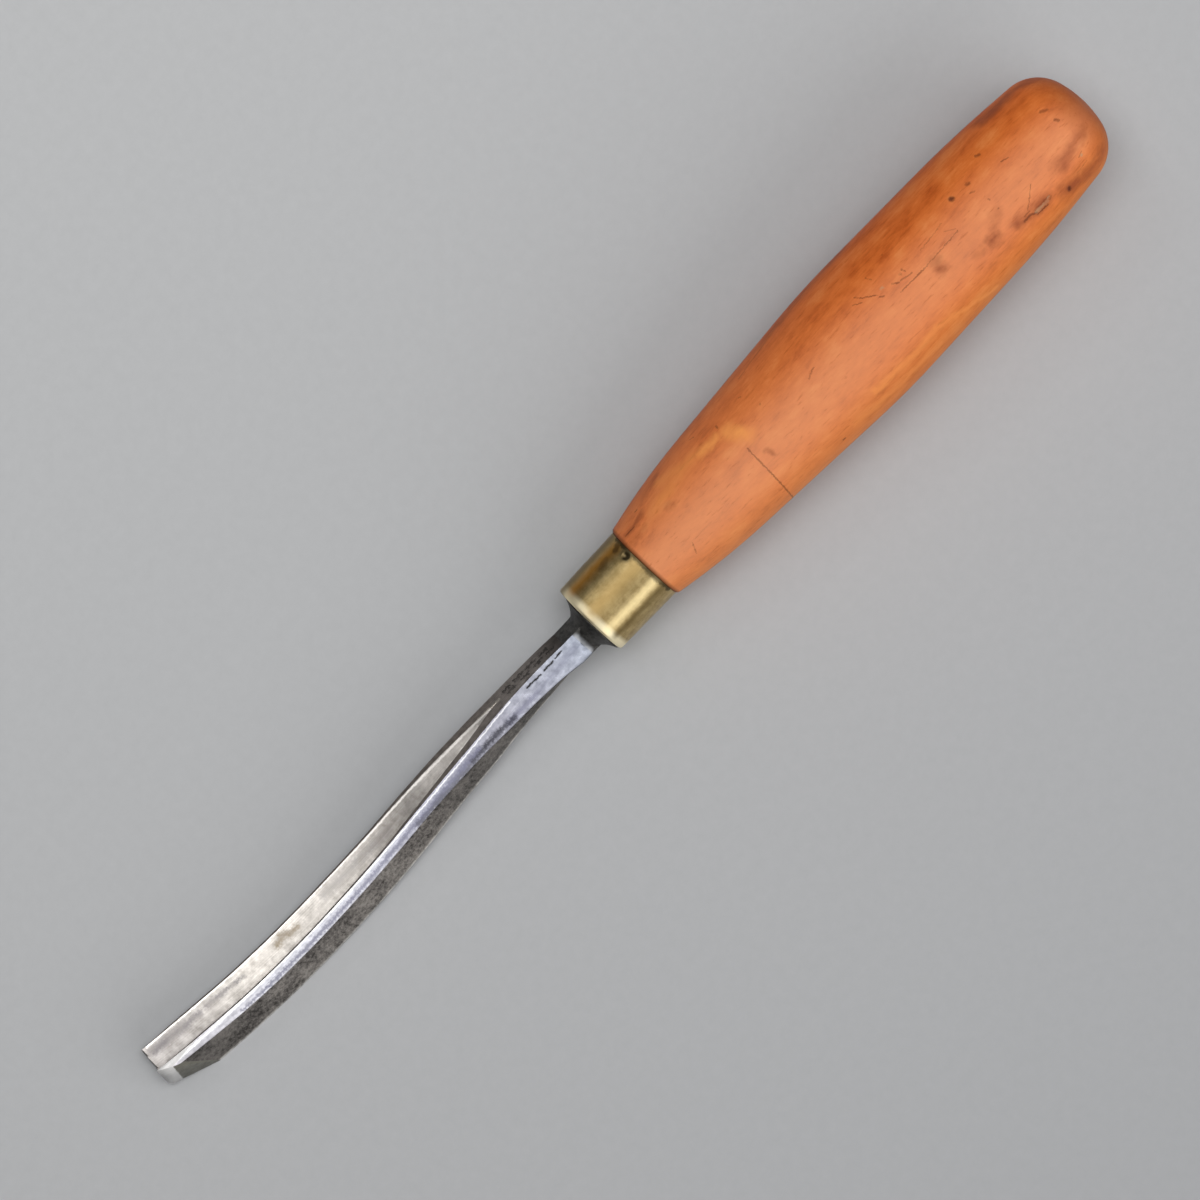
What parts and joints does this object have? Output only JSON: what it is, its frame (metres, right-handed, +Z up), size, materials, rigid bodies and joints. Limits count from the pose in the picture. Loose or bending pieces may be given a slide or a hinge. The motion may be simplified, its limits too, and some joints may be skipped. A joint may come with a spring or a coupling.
{
  "type": "carving v-tool",
  "caption": "Long-bent wood carving parting tool: a V-section steel blade with bolster and hidden tang, brass ferrule and turned hardwood handle, lying on its side.",
  "frame": {"origin": "on the bench under the middle of the tool as it lies on its side", "axes": "+X along the tool towards the butt of the handle, +Z up from the bench, the open side of the blade's channel facing +Y and up"},
  "size_m": [0.256, 0.0278, 0.029],
  "materials": {
    "forged_steel": "forged tool steel, ground bright inside the channel and at the edge, darkened and pitted outside",
    "brass": "tarnished brass tube, worn brighter at the front rim",
    "boxwood": "turned boxwood, polished orange-brown by use"
  },
  "bodies": {
    "root": {"blade": "forged_steel", "ferrule": "brass", "handle": "boxwood"}
  },
  "joints": []
}
